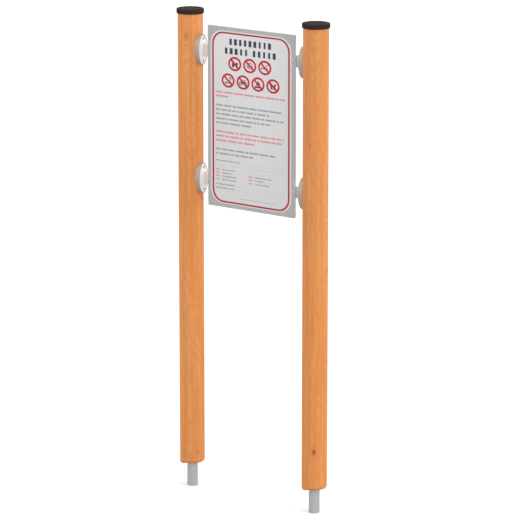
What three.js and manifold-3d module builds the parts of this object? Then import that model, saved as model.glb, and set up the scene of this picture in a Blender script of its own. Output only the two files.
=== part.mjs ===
// A park rules sign: a printed board carried by four cast connectors between two round timber posts.
// Millimetres. X runs from the left post to the right one, -Y is the side that is read, +Z is up.
// The origin lies midway between the open lower ends of the two anchor tubes.

import * as THREE from 'three';
import { mergeVertices } from 'three/addons/utils/BufferGeometryUtils.js';
import Module from 'manifold-3d';

const wasm = await Module();
wasm.setup();

// Clearances
const seatGap = 0.3;
const holeGap = 0.3;
const cutOverrun = 3;
const weldDistance = 0.0001;

// Posts
const postRadius = 50;
const postLength = 1835;
const postFootRound = 12;
const postTopChamfer = 2;

// Post caps
const capInnerGap = 0.6;
const capWall = 3.4;
const capTopThickness = 5;
const capSkirtLength = 13;
const capEdgeRound = 3.5;
const capLipChamfer = 1;
const capScrewRadius = 2.25;
const capScrewHeadRadius = 4.5;
const capScrewLength = 40;

// Anchor tubes
const tubeRadius = 21.2;
const tubeWall = 2.9;
const tubeFreeLength = 100;
const tubeSocketLength = 250;

// Anchor coach screws, driven from behind through the tube
const anchorScrewRadius = 4;
const anchorScrewLength = 78;
const anchorHeadFlats = 13;
const anchorHeadHeight = 5.3;
const anchorWasherRadius = 11;
const anchorWasherThickness = 2;
const anchorRecessClearance = 2;
const anchorRecessDepth = 9;

// Board and its printed film
const boardWidth = 420;
const boardHeight = 715;
const boardThickness = 10;
const boardCornerRound = 4;
const boardEdgeRound = 0.8;
const boardBelowPostTop = 50;
const boardToPost = 42.5;
const filmThickness = 0.4;
const filmGlueGap = 0.1;
const filmMargin = 15;
const filmCornerRound = 56;

// Connectors between post and board
const connectorFromBoardEnd = 102;
const facePastPost = 13.5;
const faceHalfWidth = 29.5;
const faceHalfHeight = 62;
const faceRise = 2.5;
const rimRound = 1.5;
const tabThickness = 6;
const tabRootHalfHeight = 28;
const tabTipHalfHeight = 22;
const tabPastBolt = 13;

// Connector wood screws
const woodScrewRadius = 3;
const woodScrewHeadRadius = 6;
const woodScrewLength = 60;
const woodScrewSink = 0.4;

// Board bolts, washers and dome nuts
const boltInset = 9;
const boltRadius = 3;
const boltIntoNut = 6.2;
const boltHeadRadius = 5.25;
const boltHeadHeight = 3.3;
const boltHeadLand = 0.8;
const boltSocketFlats = 4;
const boltSocketDepth = 2;
const washerRadius = 6;
const washerThickness = 1.6;
const nutFlats = 10;
const nutHexHeight = 5;
const nutHeight = 12;

// Shares of the sizes above, and of a quarter turn
const anchorScrewShares = { lower: 0.28, upper: 0.72 };
const tabTipRoundShare = 0.75;
const nutDomeShare = 0.95;
const screwPointShare = 1.5;
const roundedShares = [0, 1 / 3, 2 / 3, 1];
const domeShares = [0, 0.4, 0.75, 1];
const crownShares = [0.8, 0.45, 0];

// How many steps go round a form
const largeSteps = 36;
const ovalSteps = 32;
const tubeSteps = 24;
const smallSteps = 12;
const hexSides = 6;
const cornerSteps = 4;

// Places that several pieces share
const boardEdgeFromPost = postRadius + boardToPost;
const postSpacing = boardWidth + 2 * boardEdgeFromPost;
const woodFoot = tubeFreeLength;
const boardFoot = woodFoot + postLength - boardBelowPostTop - boardHeight;
const boltAcross = boardWidth / 2 - boltInset;
const boltUpAndDown = boardHeight / 2 - connectorFromBoardEnd;
const connectorHeights = {
  lower: boardFoot + boardHeight / 2 - boltUpAndDown,
  upper: boardFoot + boardHeight / 2 + boltUpAndDown,
};
const anchorScrewHeights = {
  lower: anchorScrewShares.lower * tubeSocketLength,
  upper: anchorScrewShares.upper * tubeSocketLength,
};
const anchorWasherPlane = postRadius - anchorRecessDepth + seatGap;
const anchorHeadPlane = anchorWasherPlane + anchorWasherThickness + seatGap;
const faceReach = postRadius + facePastPost;
const woodScrewOffset = (tabRootHalfHeight + faceHalfHeight - rimRound) / 2;
const crownAtScrew = faceRise * (1 - (woodScrewOffset / faceHalfHeight) ** 2);
const screwFacePlane = faceReach + crownAtScrew - woodScrewSink;
const boltFromPost = boardEdgeFromPost + boltInset;
const tabTip = boltFromPost + tabPastBolt;
const boltHeadPlane = -boardThickness - seatGap;
const washerPlane = seatGap + tabThickness + seatGap;
const nutPlane = washerPlane + washerThickness + seatGap;
const boltLength = nutPlane + boltIntoNut - boltHeadPlane;

const finishes = {
  wood: { color: 0xde9257, roughness: 0.55, metalness: 0 },
  cap: { color: 0x3c3537, roughness: 0.6, metalness: 0 },
  zinc: { color: 0xb0b1b3, roughness: 0.45, metalness: 0.8 },
  casting: { color: 0xd3cfcc, roughness: 0.45, metalness: 0.2 },
  board: { color: 0xb3b0ae, roughness: 0.5, metalness: 0 },
  film: { color: 0xd0d0d2, roughness: 0.35, metalness: 0 },
  steel: { color: 0xc2c4c6, roughness: 0.3, metalness: 0.9 },
  blackSteel: { color: 0x343132, roughness: 0.5, metalness: 0.6 },
};

// Swaps axes without rounding, so that a form made about Y stands up along Z.
const standUp = new THREE.Matrix4().set(1, 0, 0, 0, 0, 0, -1, 0, 0, 1, 0, 0, 0, 0, 0, 1);
// Swaps axes without rounding, so that a form made about Y points along X.
const pointAlongX = new THREE.Matrix4().set(0, 1, 0, 0, 0, 0, 1, 0, 1, 0, 0, 0, 0, 0, 0, 1);

function piece(name, finish, geometry) {
  const mesh = new THREE.Mesh(geometry, new THREE.MeshStandardMaterial(finishes[finish]));
  mesh.name = name;
  return mesh;
}

function placed(object, x, y, z) {
  object.position.set(x, y, z);
  return object;
}

function toSolid(geometry) {
  const bare = geometry.clone();
  bare.deleteAttribute('normal');
  bare.deleteAttribute('uv');
  const welded = mergeVertices(bare, weldDistance);
  const corners = Array.from(welded.index.array);
  const faces = [];
  for (let i = 0; i < corners.length; i += 3) {
    const [a, b, c] = corners.slice(i, i + 3);
    if (a !== b && b !== c && c !== a) faces.push(a, b, c);
  }
  return new wasm.Manifold(new wasm.Mesh({
    numProp: 3,
    vertProperties: new Float32Array(welded.attributes.position.array),
    triVerts: new Uint32Array(faces),
  }));
}

function toGeometry(solid) {
  const mesh = solid.getMesh();
  const geometry = new THREE.BufferGeometry();
  geometry.setAttribute('position', new THREE.BufferAttribute(mesh.vertProperties, 3));
  geometry.setIndex(new THREE.BufferAttribute(mesh.triVerts, 1));
  geometry.computeVertexNormals();
  return geometry;
}

function cutFrom(solid, tools) {
  return tools.reduce((left, tool) => left.subtract(tool), solid);
}

// A turned form: the outline is a list of [radius, height] and the axis is Y.
function turned(outline, steps) {
  return new THREE.LatheGeometry(outline.map(([radius, height]) => new THREE.Vector2(radius, height)), steps);
}

function ring(innerRadius, outerRadius, height, steps) {
  return turned([
    [innerRadius, 0],
    [outerRadius, 0],
    [outerRadius, height],
    [innerRadius, height],
    [innerRadius, 0],
  ], steps);
}

// A plain round or many-sided bar about Y, from one height to another.
function bar(radius, from, to, steps) {
  const geometry = new THREE.CylinderGeometry(radius, radius, to - from, steps);
  return geometry.translate(0, (from + to) / 2, 0);
}

// A quarter round of an outline, from the far side of its centre to the height above or below it.
function quarterRound(centreRadius, centreHeight, reach, rise, shares) {
  return shares.map((share) => {
    const turn = share * Math.PI / 2;
    return [centreRadius + reach * Math.cos(turn), centreHeight + rise * Math.sin(turn)];
  });
}

function cornerRadius(acrossFlats) {
  return acrossFlats / 2 / Math.cos(Math.PI / hexSides);
}

function roundedRectangle(width, height, round) {
  const shape = new THREE.Shape();
  const right = width / 2;
  const top = height / 2;
  shape.moveTo(-right + round, -top);
  shape.lineTo(right - round, -top);
  shape.absarc(right - round, -top + round, round, -Math.PI / 2, 0);
  shape.lineTo(right, top - round);
  shape.absarc(right - round, top - round, round, 0, Math.PI / 2);
  shape.lineTo(-right + round, top);
  shape.absarc(-right + round, top - round, round, Math.PI / 2, Math.PI);
  shape.lineTo(-right, -top + round);
  shape.absarc(-right + round, -top + round, round, Math.PI, Math.PI * 1.5);
  return shape;
}

// Timber post: rounded foot, blind socket for the anchor tube, recesses and pilot holes for its screws.
function postGeometry(towardsBoard) {
  const socketRadius = tubeRadius + holeGap;
  const socketDepth = tubeSocketLength + seatGap;
  const footCentre = postRadius - postFootRound;
  const foot = quarterRound(footCentre, postFootRound, postFootRound, -postFootRound, roundedShares);
  const body = turned([
    [0, socketDepth],
    [socketRadius, socketDepth],
    [socketRadius, 0],
    ...foot.reverse(),
    [postRadius, postLength - postTopChamfer],
    [postRadius - postTopChamfer, postLength],
    [0, postLength],
  ], largeSteps).applyMatrix4(standUp);

  const cuts = [];
  const recessFloor = postRadius - anchorRecessDepth;
  for (const height of Object.values(anchorScrewHeights)) {
    const recessRadius = anchorWasherRadius + anchorRecessClearance;
    const recess = bar(recessRadius, recessFloor, postRadius + cutOverrun, tubeSteps);
    const screwEnd = anchorHeadPlane - anchorScrewLength - seatGap;
    const shankHole = bar(anchorScrewRadius + holeGap, screwEnd, postRadius, smallSteps);
    cuts.push(recess.translate(0, 0, height), shankHole.translate(0, 0, height));
  }
  for (const height of Object.values(connectorHeights)) {
    for (const offset of [-woodScrewOffset, woodScrewOffset]) {
      const screwEnd = screwFacePlane - woodScrewLength - seatGap;
      const pilot = bar(woodScrewRadius + holeGap, screwEnd, postRadius + cutOverrun, smallSteps);
      pilot.applyMatrix4(pointAlongX);
      if (towardsBoard < 0) pilot.rotateZ(Math.PI);
      cuts.push(pilot.translate(0, 0, height - woodFoot + offset));
    }
  }
  const capPilotDepth = capScrewLength - capTopThickness;
  const capPilot = bar(
    capScrewRadius + holeGap,
    postLength - capPilotDepth,
    postLength + cutOverrun,
    smallSteps,
  );
  cuts.push(capPilot.applyMatrix4(standUp));
  return toGeometry(cutFrom(toSolid(body), cuts.map(toSolid)));
}

// Moulded cap: a flat lid with a rounded edge and a skirt that hugs the top of the post.
function capGeometry() {
  const innerRadius = postRadius + capInnerGap;
  const outerRadius = innerRadius + capWall;
  const edgeCentre = outerRadius - capEdgeRound;
  const edgeFoot = capTopThickness - capEdgeRound;
  const throat = capScrewRadius + holeGap;
  const mouth = capScrewHeadRadius + holeGap;
  return turned([
    [throat, 0],
    [innerRadius, 0],
    [innerRadius, -capSkirtLength],
    [outerRadius - capLipChamfer, -capSkirtLength],
    [outerRadius, -capSkirtLength + capLipChamfer],
    ...quarterRound(edgeCentre, edgeFoot, capEdgeRound, capEdgeRound, roundedShares),
    [mouth, capTopThickness],
    [throat, capTopThickness - (mouth - throat)],
    [throat, 0],
  ], largeSteps).applyMatrix4(standUp);
}

// Countersunk screw about Y: the flat head is at height zero and the point is below it.
function countersunkGeometry(radius, headRadius, length) {
  return turned([
    [0, -length],
    [radius, -length + screwPointShare * radius],
    [radius, radius - headRadius],
    [headRadius, 0],
    [0, 0],
  ], smallSteps);
}

// The hole that a countersunk screw sits in, a clearance larger all round and open above its head.
function countersunkHole(radius, headRadius, length) {
  const mouth = headRadius + holeGap;
  const throat = radius + holeGap;
  return turned([
    [0, -length],
    [throat, -length],
    [throat, throat - mouth],
    [mouth, 0],
    [mouth, cutOverrun],
    [0, cutOverrun],
  ], smallSteps);
}

// Anchor tube with a pair of cross holes for each coach screw.
function tubeGeometry() {
  const length = tubeFreeLength + tubeSocketLength;
  const body = ring(tubeRadius - tubeWall, tubeRadius, length, tubeSteps).applyMatrix4(standUp);
  const cuts = Object.values(anchorScrewHeights).map((height) => {
    const reach = tubeRadius + cutOverrun;
    const hole = bar(anchorScrewRadius + holeGap, -reach, reach, smallSteps);
    return toSolid(hole.translate(0, 0, tubeFreeLength + height));
  });
  return toGeometry(cutFrom(toSolid(body), cuts));
}

// Hexagon-head coach screw about Y: the underside of its head is at height zero.
function coachScrewGeometry() {
  const head = bar(cornerRadius(anchorHeadFlats), 0, anchorHeadHeight, hexSides);
  const shank = turned([
    [0, -anchorScrewLength],
    [anchorScrewRadius, -anchorScrewLength + screwPointShare * anchorScrewRadius],
    [anchorScrewRadius, anchorHeadHeight / 2],
    [0, anchorHeadHeight / 2],
  ], smallSteps);
  return toGeometry(toSolid(head).add(toSolid(shank)));
}

// The oval saddle: rings of their own width and height, from inside the post out to the crowned face.
function saddleGeometry() {
  const rings = [
    { along: 0, inset: 0, share: 0 },
    { along: 0, inset: 0, share: 1 },
  ];
  const rim = quarterRound(-rimRound, faceReach - rimRound, rimRound, rimRound, roundedShares);
  for (const [back, along] of rim) {
    rings.push({ along, inset: -back, share: 1 });
  }
  for (const share of crownShares) {
    rings.push({ along: faceReach + faceRise * (1 - share * share), inset: rimRound, share });
  }
  const widths = rings.map((entry) => (faceHalfWidth - entry.inset) * entry.share);
  const heights = rings.map((entry) => (faceHalfHeight - entry.inset) * entry.share);
  const geometry = turned(rings.map((entry, i) => [widths[i], entry.along]), ovalSteps);
  const corners = geometry.attributes.position;
  for (let i = 0; i < corners.count; i += 1) {
    const row = i % rings.length;
    if (widths[row] > 0) corners.setX(i, corners.getX(i) * heights[row] / widths[row]);
  }
  return geometry.applyMatrix4(pointAlongX);
}

// The flat tab that carries the board, its front face in the plane of the post axes.
function tabGeometry() {
  const root = faceReach - rimRound;
  const round = tabTipRoundShare * tabTipHalfHeight;
  const straight = tabTipHalfHeight - round;
  const shape = new THREE.Shape();
  shape.moveTo(root, -tabRootHalfHeight);
  shape.lineTo(tabTip - round, -tabTipHalfHeight);
  shape.absarc(tabTip - round, -straight, round, -Math.PI / 2, 0);
  shape.absarc(tabTip - round, straight, round, 0, Math.PI / 2);
  shape.lineTo(root, tabRootHalfHeight);
  const plate = new THREE.ExtrudeGeometry(shape, {
    depth: tabThickness,
    bevelEnabled: false,
    curveSegments: cornerSteps,
  });
  return plate.translate(0, 0, -tabThickness - seatGap).applyMatrix4(standUp);
}

// Cast connector: the saddle and its tab, hollowed to the post and drilled for its screws and bolt.
function connectorGeometry() {
  const postClearance = bar(
    postRadius + seatGap,
    -faceHalfHeight - cutOverrun,
    faceHalfHeight + cutOverrun,
    largeSteps,
  ).applyMatrix4(standUp);
  const cuts = [postClearance];
  for (const offset of [-woodScrewOffset, woodScrewOffset]) {
    const hole = countersunkHole(woodScrewRadius, woodScrewHeadRadius, woodScrewLength);
    cuts.push(hole.applyMatrix4(pointAlongX).translate(screwFacePlane, 0, offset));
  }
  const boltHole = bar(boltRadius + holeGap, -cutOverrun, tabThickness + cutOverrun, smallSteps);
  cuts.push(boltHole.translate(boltFromPost, 0, 0));
  const whole = toSolid(saddleGeometry()).add(toSolid(tabGeometry()));
  return toGeometry(cutFrom(whole, cuts.map(toSolid)));
}

// A round bar through the board or its film at each of the four bolts.
function boltClearances(radius) {
  const tools = [];
  for (const x of [-boltAcross, boltAcross]) {
    for (const z of [-boltUpAndDown, boltUpAndDown]) {
      const tool = bar(radius, -boardThickness - cutOverrun, cutOverrun, smallSteps);
      tools.push(toSolid(tool.translate(x, 0, z)));
    }
  }
  return tools;
}

// Board of solid laminate with four bolt holes; its back lies in the plane of the post axes.
function boardGeometry() {
  const plate = new THREE.ExtrudeGeometry(roundedRectangle(boardWidth, boardHeight, boardCornerRound), {
    depth: boardThickness - 2 * boardEdgeRound,
    bevelEnabled: true,
    bevelThickness: boardEdgeRound,
    bevelSize: boardEdgeRound,
    bevelOffset: -boardEdgeRound,
    bevelSegments: 1,
    curveSegments: cornerSteps,
  });
  plate.translate(0, 0, boardEdgeRound).applyMatrix4(standUp);
  return toGeometry(cutFrom(toSolid(plate), boltClearances(boltRadius + holeGap)));
}

// Printed film, cut away wherever it would run under the heads of the bolts.
function filmGeometry() {
  const width = boardWidth - 2 * filmMargin;
  const height = boardHeight - 2 * filmMargin;
  const sheet = new THREE.ExtrudeGeometry(roundedRectangle(width, height, filmCornerRound), {
    depth: filmThickness,
    bevelEnabled: false,
    curveSegments: smallSteps,
  });
  sheet.applyMatrix4(standUp);
  return toGeometry(cutFrom(toSolid(sheet), boltClearances(boltHeadRadius + holeGap)));
}

// Button-head bolt about Y: the underside of its head is at height zero and the head is below it.
function boltGeometry() {
  const crown = quarterRound(0, -boltHeadLand, boltHeadRadius, boltHeadLand - boltHeadHeight, domeShares);
  const body = turned([
    ...crown.reverse(),
    [boltHeadRadius, 0],
    [boltRadius, 0],
    [boltRadius, boltLength],
    [0, boltLength],
  ], smallSteps);
  const socket = bar(
    cornerRadius(boltSocketFlats),
    -boltHeadHeight - cutOverrun,
    -boltHeadHeight + boltSocketDepth,
    hexSides,
  );
  return toGeometry(toSolid(body).subtract(toSolid(socket)));
}

// Dome nut about Y: its flat foot is at height zero and its blind bore takes the end of the bolt.
function nutGeometry() {
  const hexagon = bar(cornerRadius(nutFlats), 0, nutHexHeight, hexSides);
  const domeRadius = nutDomeShare * nutFlats / 2;
  const domeStart = nutHeight - domeRadius;
  const dome = turned([
    [0, nutHexHeight / 2],
    [domeRadius, nutHexHeight / 2],
    ...quarterRound(0, domeStart, domeRadius, domeRadius, domeShares),
  ], smallSteps);
  const bore = bar(boltRadius + holeGap, -cutOverrun, domeStart, smallSteps);
  return toGeometry(toSolid(hexagon).add(toSolid(dome)).subtract(toSolid(bore)));
}

function connectorGroup(side, level) {
  const group = new THREE.Group();
  group.add(piece(`connector_${side}_${level}`, 'casting', connectorGeometry()));
  for (const [place, offset] of [['bottom', -woodScrewOffset], ['top', woodScrewOffset]]) {
    const screw = countersunkGeometry(woodScrewRadius, woodScrewHeadRadius, woodScrewLength);
    screw.applyMatrix4(pointAlongX);
    const name = `connector_screw_${side}_${level}_${place}`;
    group.add(placed(piece(name, 'steel', screw), screwFacePlane, 0, side === 'left' ? offset : -offset));
  }
  return group;
}

function postGroup(side) {
  const towardsBoard = side === 'left' ? 1 : -1;
  const group = new THREE.Group();
  group.add(placed(piece(`post_${side}`, 'wood', postGeometry(towardsBoard)), 0, 0, woodFoot));
  group.add(piece(`anchor_tube_${side}`, 'zinc', tubeGeometry()));

  const lidUnderside = woodFoot + postLength + seatGap;
  group.add(placed(piece(`post_cap_${side}`, 'cap', capGeometry()), 0, 0, lidUnderside));
  const capScrew = countersunkGeometry(capScrewRadius, capScrewHeadRadius, capScrewLength);
  capScrew.applyMatrix4(standUp);
  const capScrewTop = lidUnderside + capTopThickness;
  group.add(placed(piece(`cap_screw_${side}`, 'blackSteel', capScrew), 0, 0, capScrewTop));

  for (const [level, height] of Object.entries(anchorScrewHeights)) {
    const screw = piece(`anchor_screw_${side}_${level}`, 'zinc', coachScrewGeometry());
    group.add(placed(screw, 0, anchorHeadPlane, woodFoot + height));
    const bore = anchorScrewRadius + holeGap;
    const washer = ring(bore, anchorWasherRadius, anchorWasherThickness, smallSteps);
    const seated = piece(`anchor_washer_${side}_${level}`, 'zinc', washer);
    group.add(placed(seated, 0, anchorWasherPlane, woodFoot + height));
  }
  for (const [level, height] of Object.entries(connectorHeights)) {
    const connector = placed(connectorGroup(side, level), 0, 0, height);
    if (towardsBoard < 0) connector.rotation.y = Math.PI;
    group.add(connector);
  }
  return placed(group, -towardsBoard * postSpacing / 2, 0, 0);
}

function boardGroup() {
  const group = new THREE.Group();
  group.add(piece('panel_board', 'board', boardGeometry()));
  const filmPlane = -boardThickness - filmGlueGap;
  group.add(placed(piece('panel_print_film', 'film', filmGeometry()), 0, filmPlane, 0));

  for (const [side, x] of [['left', -boltAcross], ['right', boltAcross]]) {
    for (const [level, z] of [['lower', -boltUpAndDown], ['upper', boltUpAndDown]]) {
      const bolt = piece(`panel_bolt_${side}_${level}`, 'steel', boltGeometry());
      group.add(placed(bolt, x, boltHeadPlane, z));
      const washer = ring(boltRadius + holeGap, washerRadius, washerThickness, smallSteps);
      group.add(placed(piece(`panel_washer_${side}_${level}`, 'steel', washer), x, washerPlane, z));
      group.add(placed(piece(`panel_nut_${side}_${level}`, 'steel', nutGeometry()), x, nutPlane, z));
    }
  }
  return placed(group, 0, 0, boardFoot + boardHeight / 2);
}

const group = new THREE.Group();
group.add(postGroup('left'), postGroup('right'), boardGroup());

export default group;
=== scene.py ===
"""Looks of a park rules sign: a printed board between two round timber posts, on steel ground tubes.

Metres, in the frame's own axes: X from the left post to the right one, -Y towards the reader, +Z up.
"""

import math
import random

import bmesh
import bpy
from mathutils import Matrix, Vector, noise


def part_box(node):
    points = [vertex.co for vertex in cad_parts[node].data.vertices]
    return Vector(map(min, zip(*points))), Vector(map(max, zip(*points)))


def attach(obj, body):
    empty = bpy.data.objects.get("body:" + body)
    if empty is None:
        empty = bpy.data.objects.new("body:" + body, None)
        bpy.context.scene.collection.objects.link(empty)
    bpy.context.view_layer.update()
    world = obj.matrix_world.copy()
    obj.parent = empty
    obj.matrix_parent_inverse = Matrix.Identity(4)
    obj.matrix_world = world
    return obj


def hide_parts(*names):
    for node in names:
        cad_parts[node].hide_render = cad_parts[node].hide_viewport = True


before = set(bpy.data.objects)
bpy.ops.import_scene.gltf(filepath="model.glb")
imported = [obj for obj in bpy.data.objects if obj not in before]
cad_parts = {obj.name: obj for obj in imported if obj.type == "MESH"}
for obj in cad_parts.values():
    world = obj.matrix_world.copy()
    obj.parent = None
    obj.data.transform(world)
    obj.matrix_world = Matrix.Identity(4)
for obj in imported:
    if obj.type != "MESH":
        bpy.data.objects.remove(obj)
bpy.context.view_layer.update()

SIDES = ("left", "right")
LEVELS = ("lower", "upper")
CORNERS = [(side, level) for side in SIDES for level in LEVELS]

# Places and sizes read from the frame
post_low, post_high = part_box("post_left")
POST_RADIUS = (post_high.x - post_low.x) / 2
POST_ACROSS = -(post_high.x + post_low.x) / 2
AXIS = {"left": -POST_ACROSS, "right": POST_ACROSS}
WOOD_FOOT = post_low.z
WOOD_TOP = post_high.z

cap_low, cap_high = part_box("post_cap_left")
CAP_RADIUS = (cap_high.x - cap_low.x) / 2
CAP_FOOT = cap_low.z
CAP_TOP = cap_high.z

tube_low, tube_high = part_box("anchor_tube_left")
TUBE_RADIUS = (tube_high.x - tube_low.x) / 2
TUBE_TOP = tube_high.z

connector_low, connector_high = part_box("connector_left_lower")
FACE_HALF_WIDTH = connector_high.y
FACE_HALF_HEIGHT = (connector_high.z - connector_low.z) / 2
TAB_TIP = connector_high.x + POST_ACROSS

bolt_low, bolt_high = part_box("panel_bolt_left_lower")
BOLT_REACH = (bolt_low.x + bolt_high.x) / 2 + POST_ACROSS
BOLT_HEAD_RADIUS = (bolt_high.x - bolt_low.x) / 2
BOLT_LENGTH = bolt_high.y - bolt_low.y

nut_low, nut_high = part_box("panel_nut_left_lower")
NUT_HEIGHT = nut_high.y - nut_low.y

board_low, board_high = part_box("panel_board")
BOARD_WIDTH = board_high.x - board_low.x
BOARD_HEIGHT = board_high.z - board_low.z
BOARD_MIDDLE = (board_high.z + board_low.z) / 2

film_low, film_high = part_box("panel_print_film")
FILM_FRONT = film_low.y

# Timber
SOCKET_GAP = 0.0003
SOCKET_RADIUS = TUBE_RADIUS + SOCKET_GAP
FOOT_ROUND = 0.013
TOP_CHAMFER = 0.002
POST_STEPS = 96
POST_ROW = 0.012
ROUND_STEPS = 10
SOCKET_MARGIN_SHARE = 1.02
FLOOR_SHARES = (0.33, 0.66)
TURNING_WAVE = 0.0003
TURNING_SCALES = (30, 30, 9)
TONGUE_AT = math.radians(-122)
TONGUE_HALF = math.radians(44)
TONGUE_DROP = 0.0045
TONGUE_ROUND = 0.0045
TONGUE_FADE_SHARE = 3
RECESS_RADIUS = 0.013
RECESS_DEPTH = 0.009

# Caps
CAP_WALL = 0.0034
CAP_LID = 0.005
CAP_EDGE_ROUND = 0.0035
CAP_LIP_ROUND = 0.001
CAP_LIP_STEPS = 4
CAP_DISH_RADIUS = 0.041
CAP_DISH_DEPTH = 0.0005
CAP_DISH_SLOPE = 3
CAP_BOSS_FOOT_SHARE = 2
CAP_BOSS_TOP_SHARE = 1.7

# Tubes
TUBE_WALL = 0.0029
TUBE_END_CHAMFER = 0.0007
TUBE_STEPS = 72

# Connectors
FACE_REACH = 0.0135
FACE_RISE = 0.0025
FACE_SHARES = (0.9, 0.78, 0.64, 0.5, 0.34, 0.16, 0.0)
RIM_ROUND = 0.0015
SADDLE_START = 0.038
SADDLE_STEPS = 96
RIM_STEPS = 6
HUG_STEPS = 192
HUG_PAST_SHARE = 1.1
TAB_THICKNESS = 0.006
TAB_ROOT_HALF = 0.028
TAB_TIP_HALF = 0.022
TAB_TIP_ROUND = 0.0165
TAB_STEPS = 12
CASTING_VOXEL = 0.0008
CASTING_SMOOTHING = 2
RIM_SHARE = "rim_share"
# How much further round the back of the connectors' rim the painted shade reaches
BACK_SHADE_EXTRA = 0.004
SEAT_GAP = 0.0003
HOLE_GAP = 0.0003

# Fasteners
WOOD_SCREW = {"radius": 0.003, "head": 0.006, "length": 0.06}
CAP_SCREW = {"radius": 0.00225, "head": 0.0045, "length": 0.04}
SCREW_POINT_SHARE = 1.5
HEAD_LIP_SHARE = 0.06
LIP_FLANK_SHARE = 1.6
DRIVE_DEPTH = 0.0012
LOBES = 6
LOBED_DRIVE_SHARE = 0.48
LOBE_DEPTH_SHARE = 0.26
CROSS_REACH_SHARE = 0.55
CROSS_HALF_SHARE = 0.13
WASHER_EASE_SHARE = 0.15
BOLT_RADIUS = 0.003
BOLT_TIP_EASE = 0.0004
BOLT_HEAD_HEIGHT = 0.0033
BOLT_HEAD_LAND = 0.0008
BOLT_HEAD_EASE = 0.0002
BOLT_HEAD_STEPS = 9
BOLT_SOCKET_FLATS = 0.004
BOLT_SOCKET_DEPTH = 0.002
NUT_FLATS = 0.01
NUT_HEX_HEIGHT = 0.005
NUT_DOME_RADIUS = 0.00475
NUT_DOME_STEPS = 12
NUT_DOME_END = 85
HEX_PAST_SHARE = 1.02
HEX_SHOULDER_SHARE = 0.8
HEX_TOP_SHARE = 0.96
COACH_FLATS = 0.013
COACH_RADIUS = 0.004
COACH_LENGTH = 0.078
COACH_HEAD_HEIGHT = 0.0053
FINE_STEPS = 48

# Board and film
BOARD_CORNER_ROUND = 0.004
BOARD_EDGE_ROUND = 0.0008
FILM_CORNER_ROUND = 0.056
FILM_EDGE_ROUND = 0.00012
CORNER_STEPS = 16

# Print, measured from the board's left and top edges
INK_BACK = 0.00003
INK_LIFT = 0.00006
INK_LAYER = 0.00002
INK_STEP = 0.000005
SLASH_LEVEL = 4
FRAME_LINE_ASIDE = 0.0268
FRAME_LINE_DOWN = 0.0229
FRAME_LINE_WIDTH_ASIDE = 0.0080
FRAME_LINE_WIDTH_DOWN = 0.0065
FRAME_LINE_ROUND = 0.049
FRAME_LINE_STEPS = 24
RING_HALF_WIDTH = 0.0315
RING_HALF_HEIGHT = 0.0282
RING_STROKE = 0.0080
SLASH_WIDTH = 0.0075
FIGURE_SHARE = 1.25
STROKE_STEPS = 6
BOX_STEPS = 3
HOOP_STEPS = 20
WHEEL_SWEEP = 178
RING_ROWS = (
    (0.1412, (0.1329, 0.2054, 0.2779)),
    (0.2091, (0.1006, 0.1731, 0.2452, 0.3172)),
)
BLOCK_ROWS = ((0.0558, 0.1014, 0.3120, (9,)), (0.0924, 0.0795, 0.3349, (5, 5)))
BLOCK_HEIGHT = 0.0242
BLOCK_ROUND = 0.0016
BLOCK_STEPS = 4
BLOCK_SHARES = (0.4, 0.5, 0.6)
BLOCK_SPACE_SHARE = 0.6
TEXT_LEFT = 0.0397
TEXT_HEIGHT = 0.0066
RED_LINES = ((0.2575, 0.3756), (0.2735, 0.1014), (0.4140, 0.3697), (0.4310, 0.3597), (0.4490, 0.2286))
DARK_LINES = (
    (0.3096, 0.3577), (0.3272, 0.3000), (0.3447, 0.3697), (0.3628, 0.3030), (0.3798, 0.2107),
    (0.4842, 0.3280), (0.5012, 0.2206),
)
SMALL_HEIGHT = 0.0046
SMALL_LINES_ABOVE = ((0.5293, 0.1590),)
SMALL_LINES_BELOW = ((0.6237, 0.1292), (0.6382, 0.1292))
LIST_ROWS = (0.5655, 0.5785, 0.5910, 0.6046)
LIST_COLUMNS = (
    {"first_row": 0, "tag": (0.0397, 0.0576), "start": 0.0696, "ends": (0.1320, 0.1180, 0.1390, 0.1390)},
    {"first_row": 1, "tag": (0.1987, 0.2186), "start": 0.2305, "ends": (0.3100, 0.2720, 0.2990)},
)
TAG_ROUND = 0.0008
FAINT_LINES = ((0.6718, 0.1490, 0.3380),)
FAINT_HEIGHT = 0.0025
RULES = ((0.5324, 0.1610), (0.5464, 0.0417), (0.6262, 0.1310), (0.6407, 0.1310))
RULE_RIGHT = 0.3776
RULE_HEIGHT = 0.0008
BAR_SHARES = (1.6, 8.0)
BAR_SPACE_SHARE = 0.7
BAR_ROUND_SHARE = 0.3

# Camera and light
VIEW_AZIMUTH = math.radians(36.78)
VIEW_ELEVATION = math.radians(13.42)
VIEW_DISTANCE = 12.518
VIEW_ASIDE = 0.0297
VIEW_HEIGHT = 0.9738
LENS = 221.5
VIEW_REACH = 200
FLOOR_HALF = 60.0
FLOOR_BOUNCE = (0.4, 0.4, 0.4, 1.0)
DOME_RIM = 1.82
DOME_TOP = 0.84
SUN_AZIMUTH = math.radians(8)
SUN_ELEVATION = math.radians(30)
SUN_SPREAD = math.radians(50)
SUN_STRENGTH = 1.05


# Mesh tools

SQUARE = ((-1, -1), (1, -1), (1, 1), (-1, 1))
ALONG_X = Matrix(((0, 0, 1, 0), (0, 1, 0, 0), (-1, 0, 0, 0), (0, 0, 0, 1)))
TO_READER = Matrix(((1, 0, 0, 0), (0, 0, -1, 0), (0, 1, 0, 0), (0, 0, 0, 1)))
TO_BACK = Matrix(((-1, 0, 0, 0), (0, 0, 1, 0), (0, 1, 0, 0), (0, 0, 0, 1)))
FACING = {"left": Matrix.Identity(4), "right": Matrix.Rotation(math.pi, 4, "Y")}


def turn_point(radius, angle, height):
    return Vector((radius * math.cos(angle), radius * math.sin(angle), height))


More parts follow.
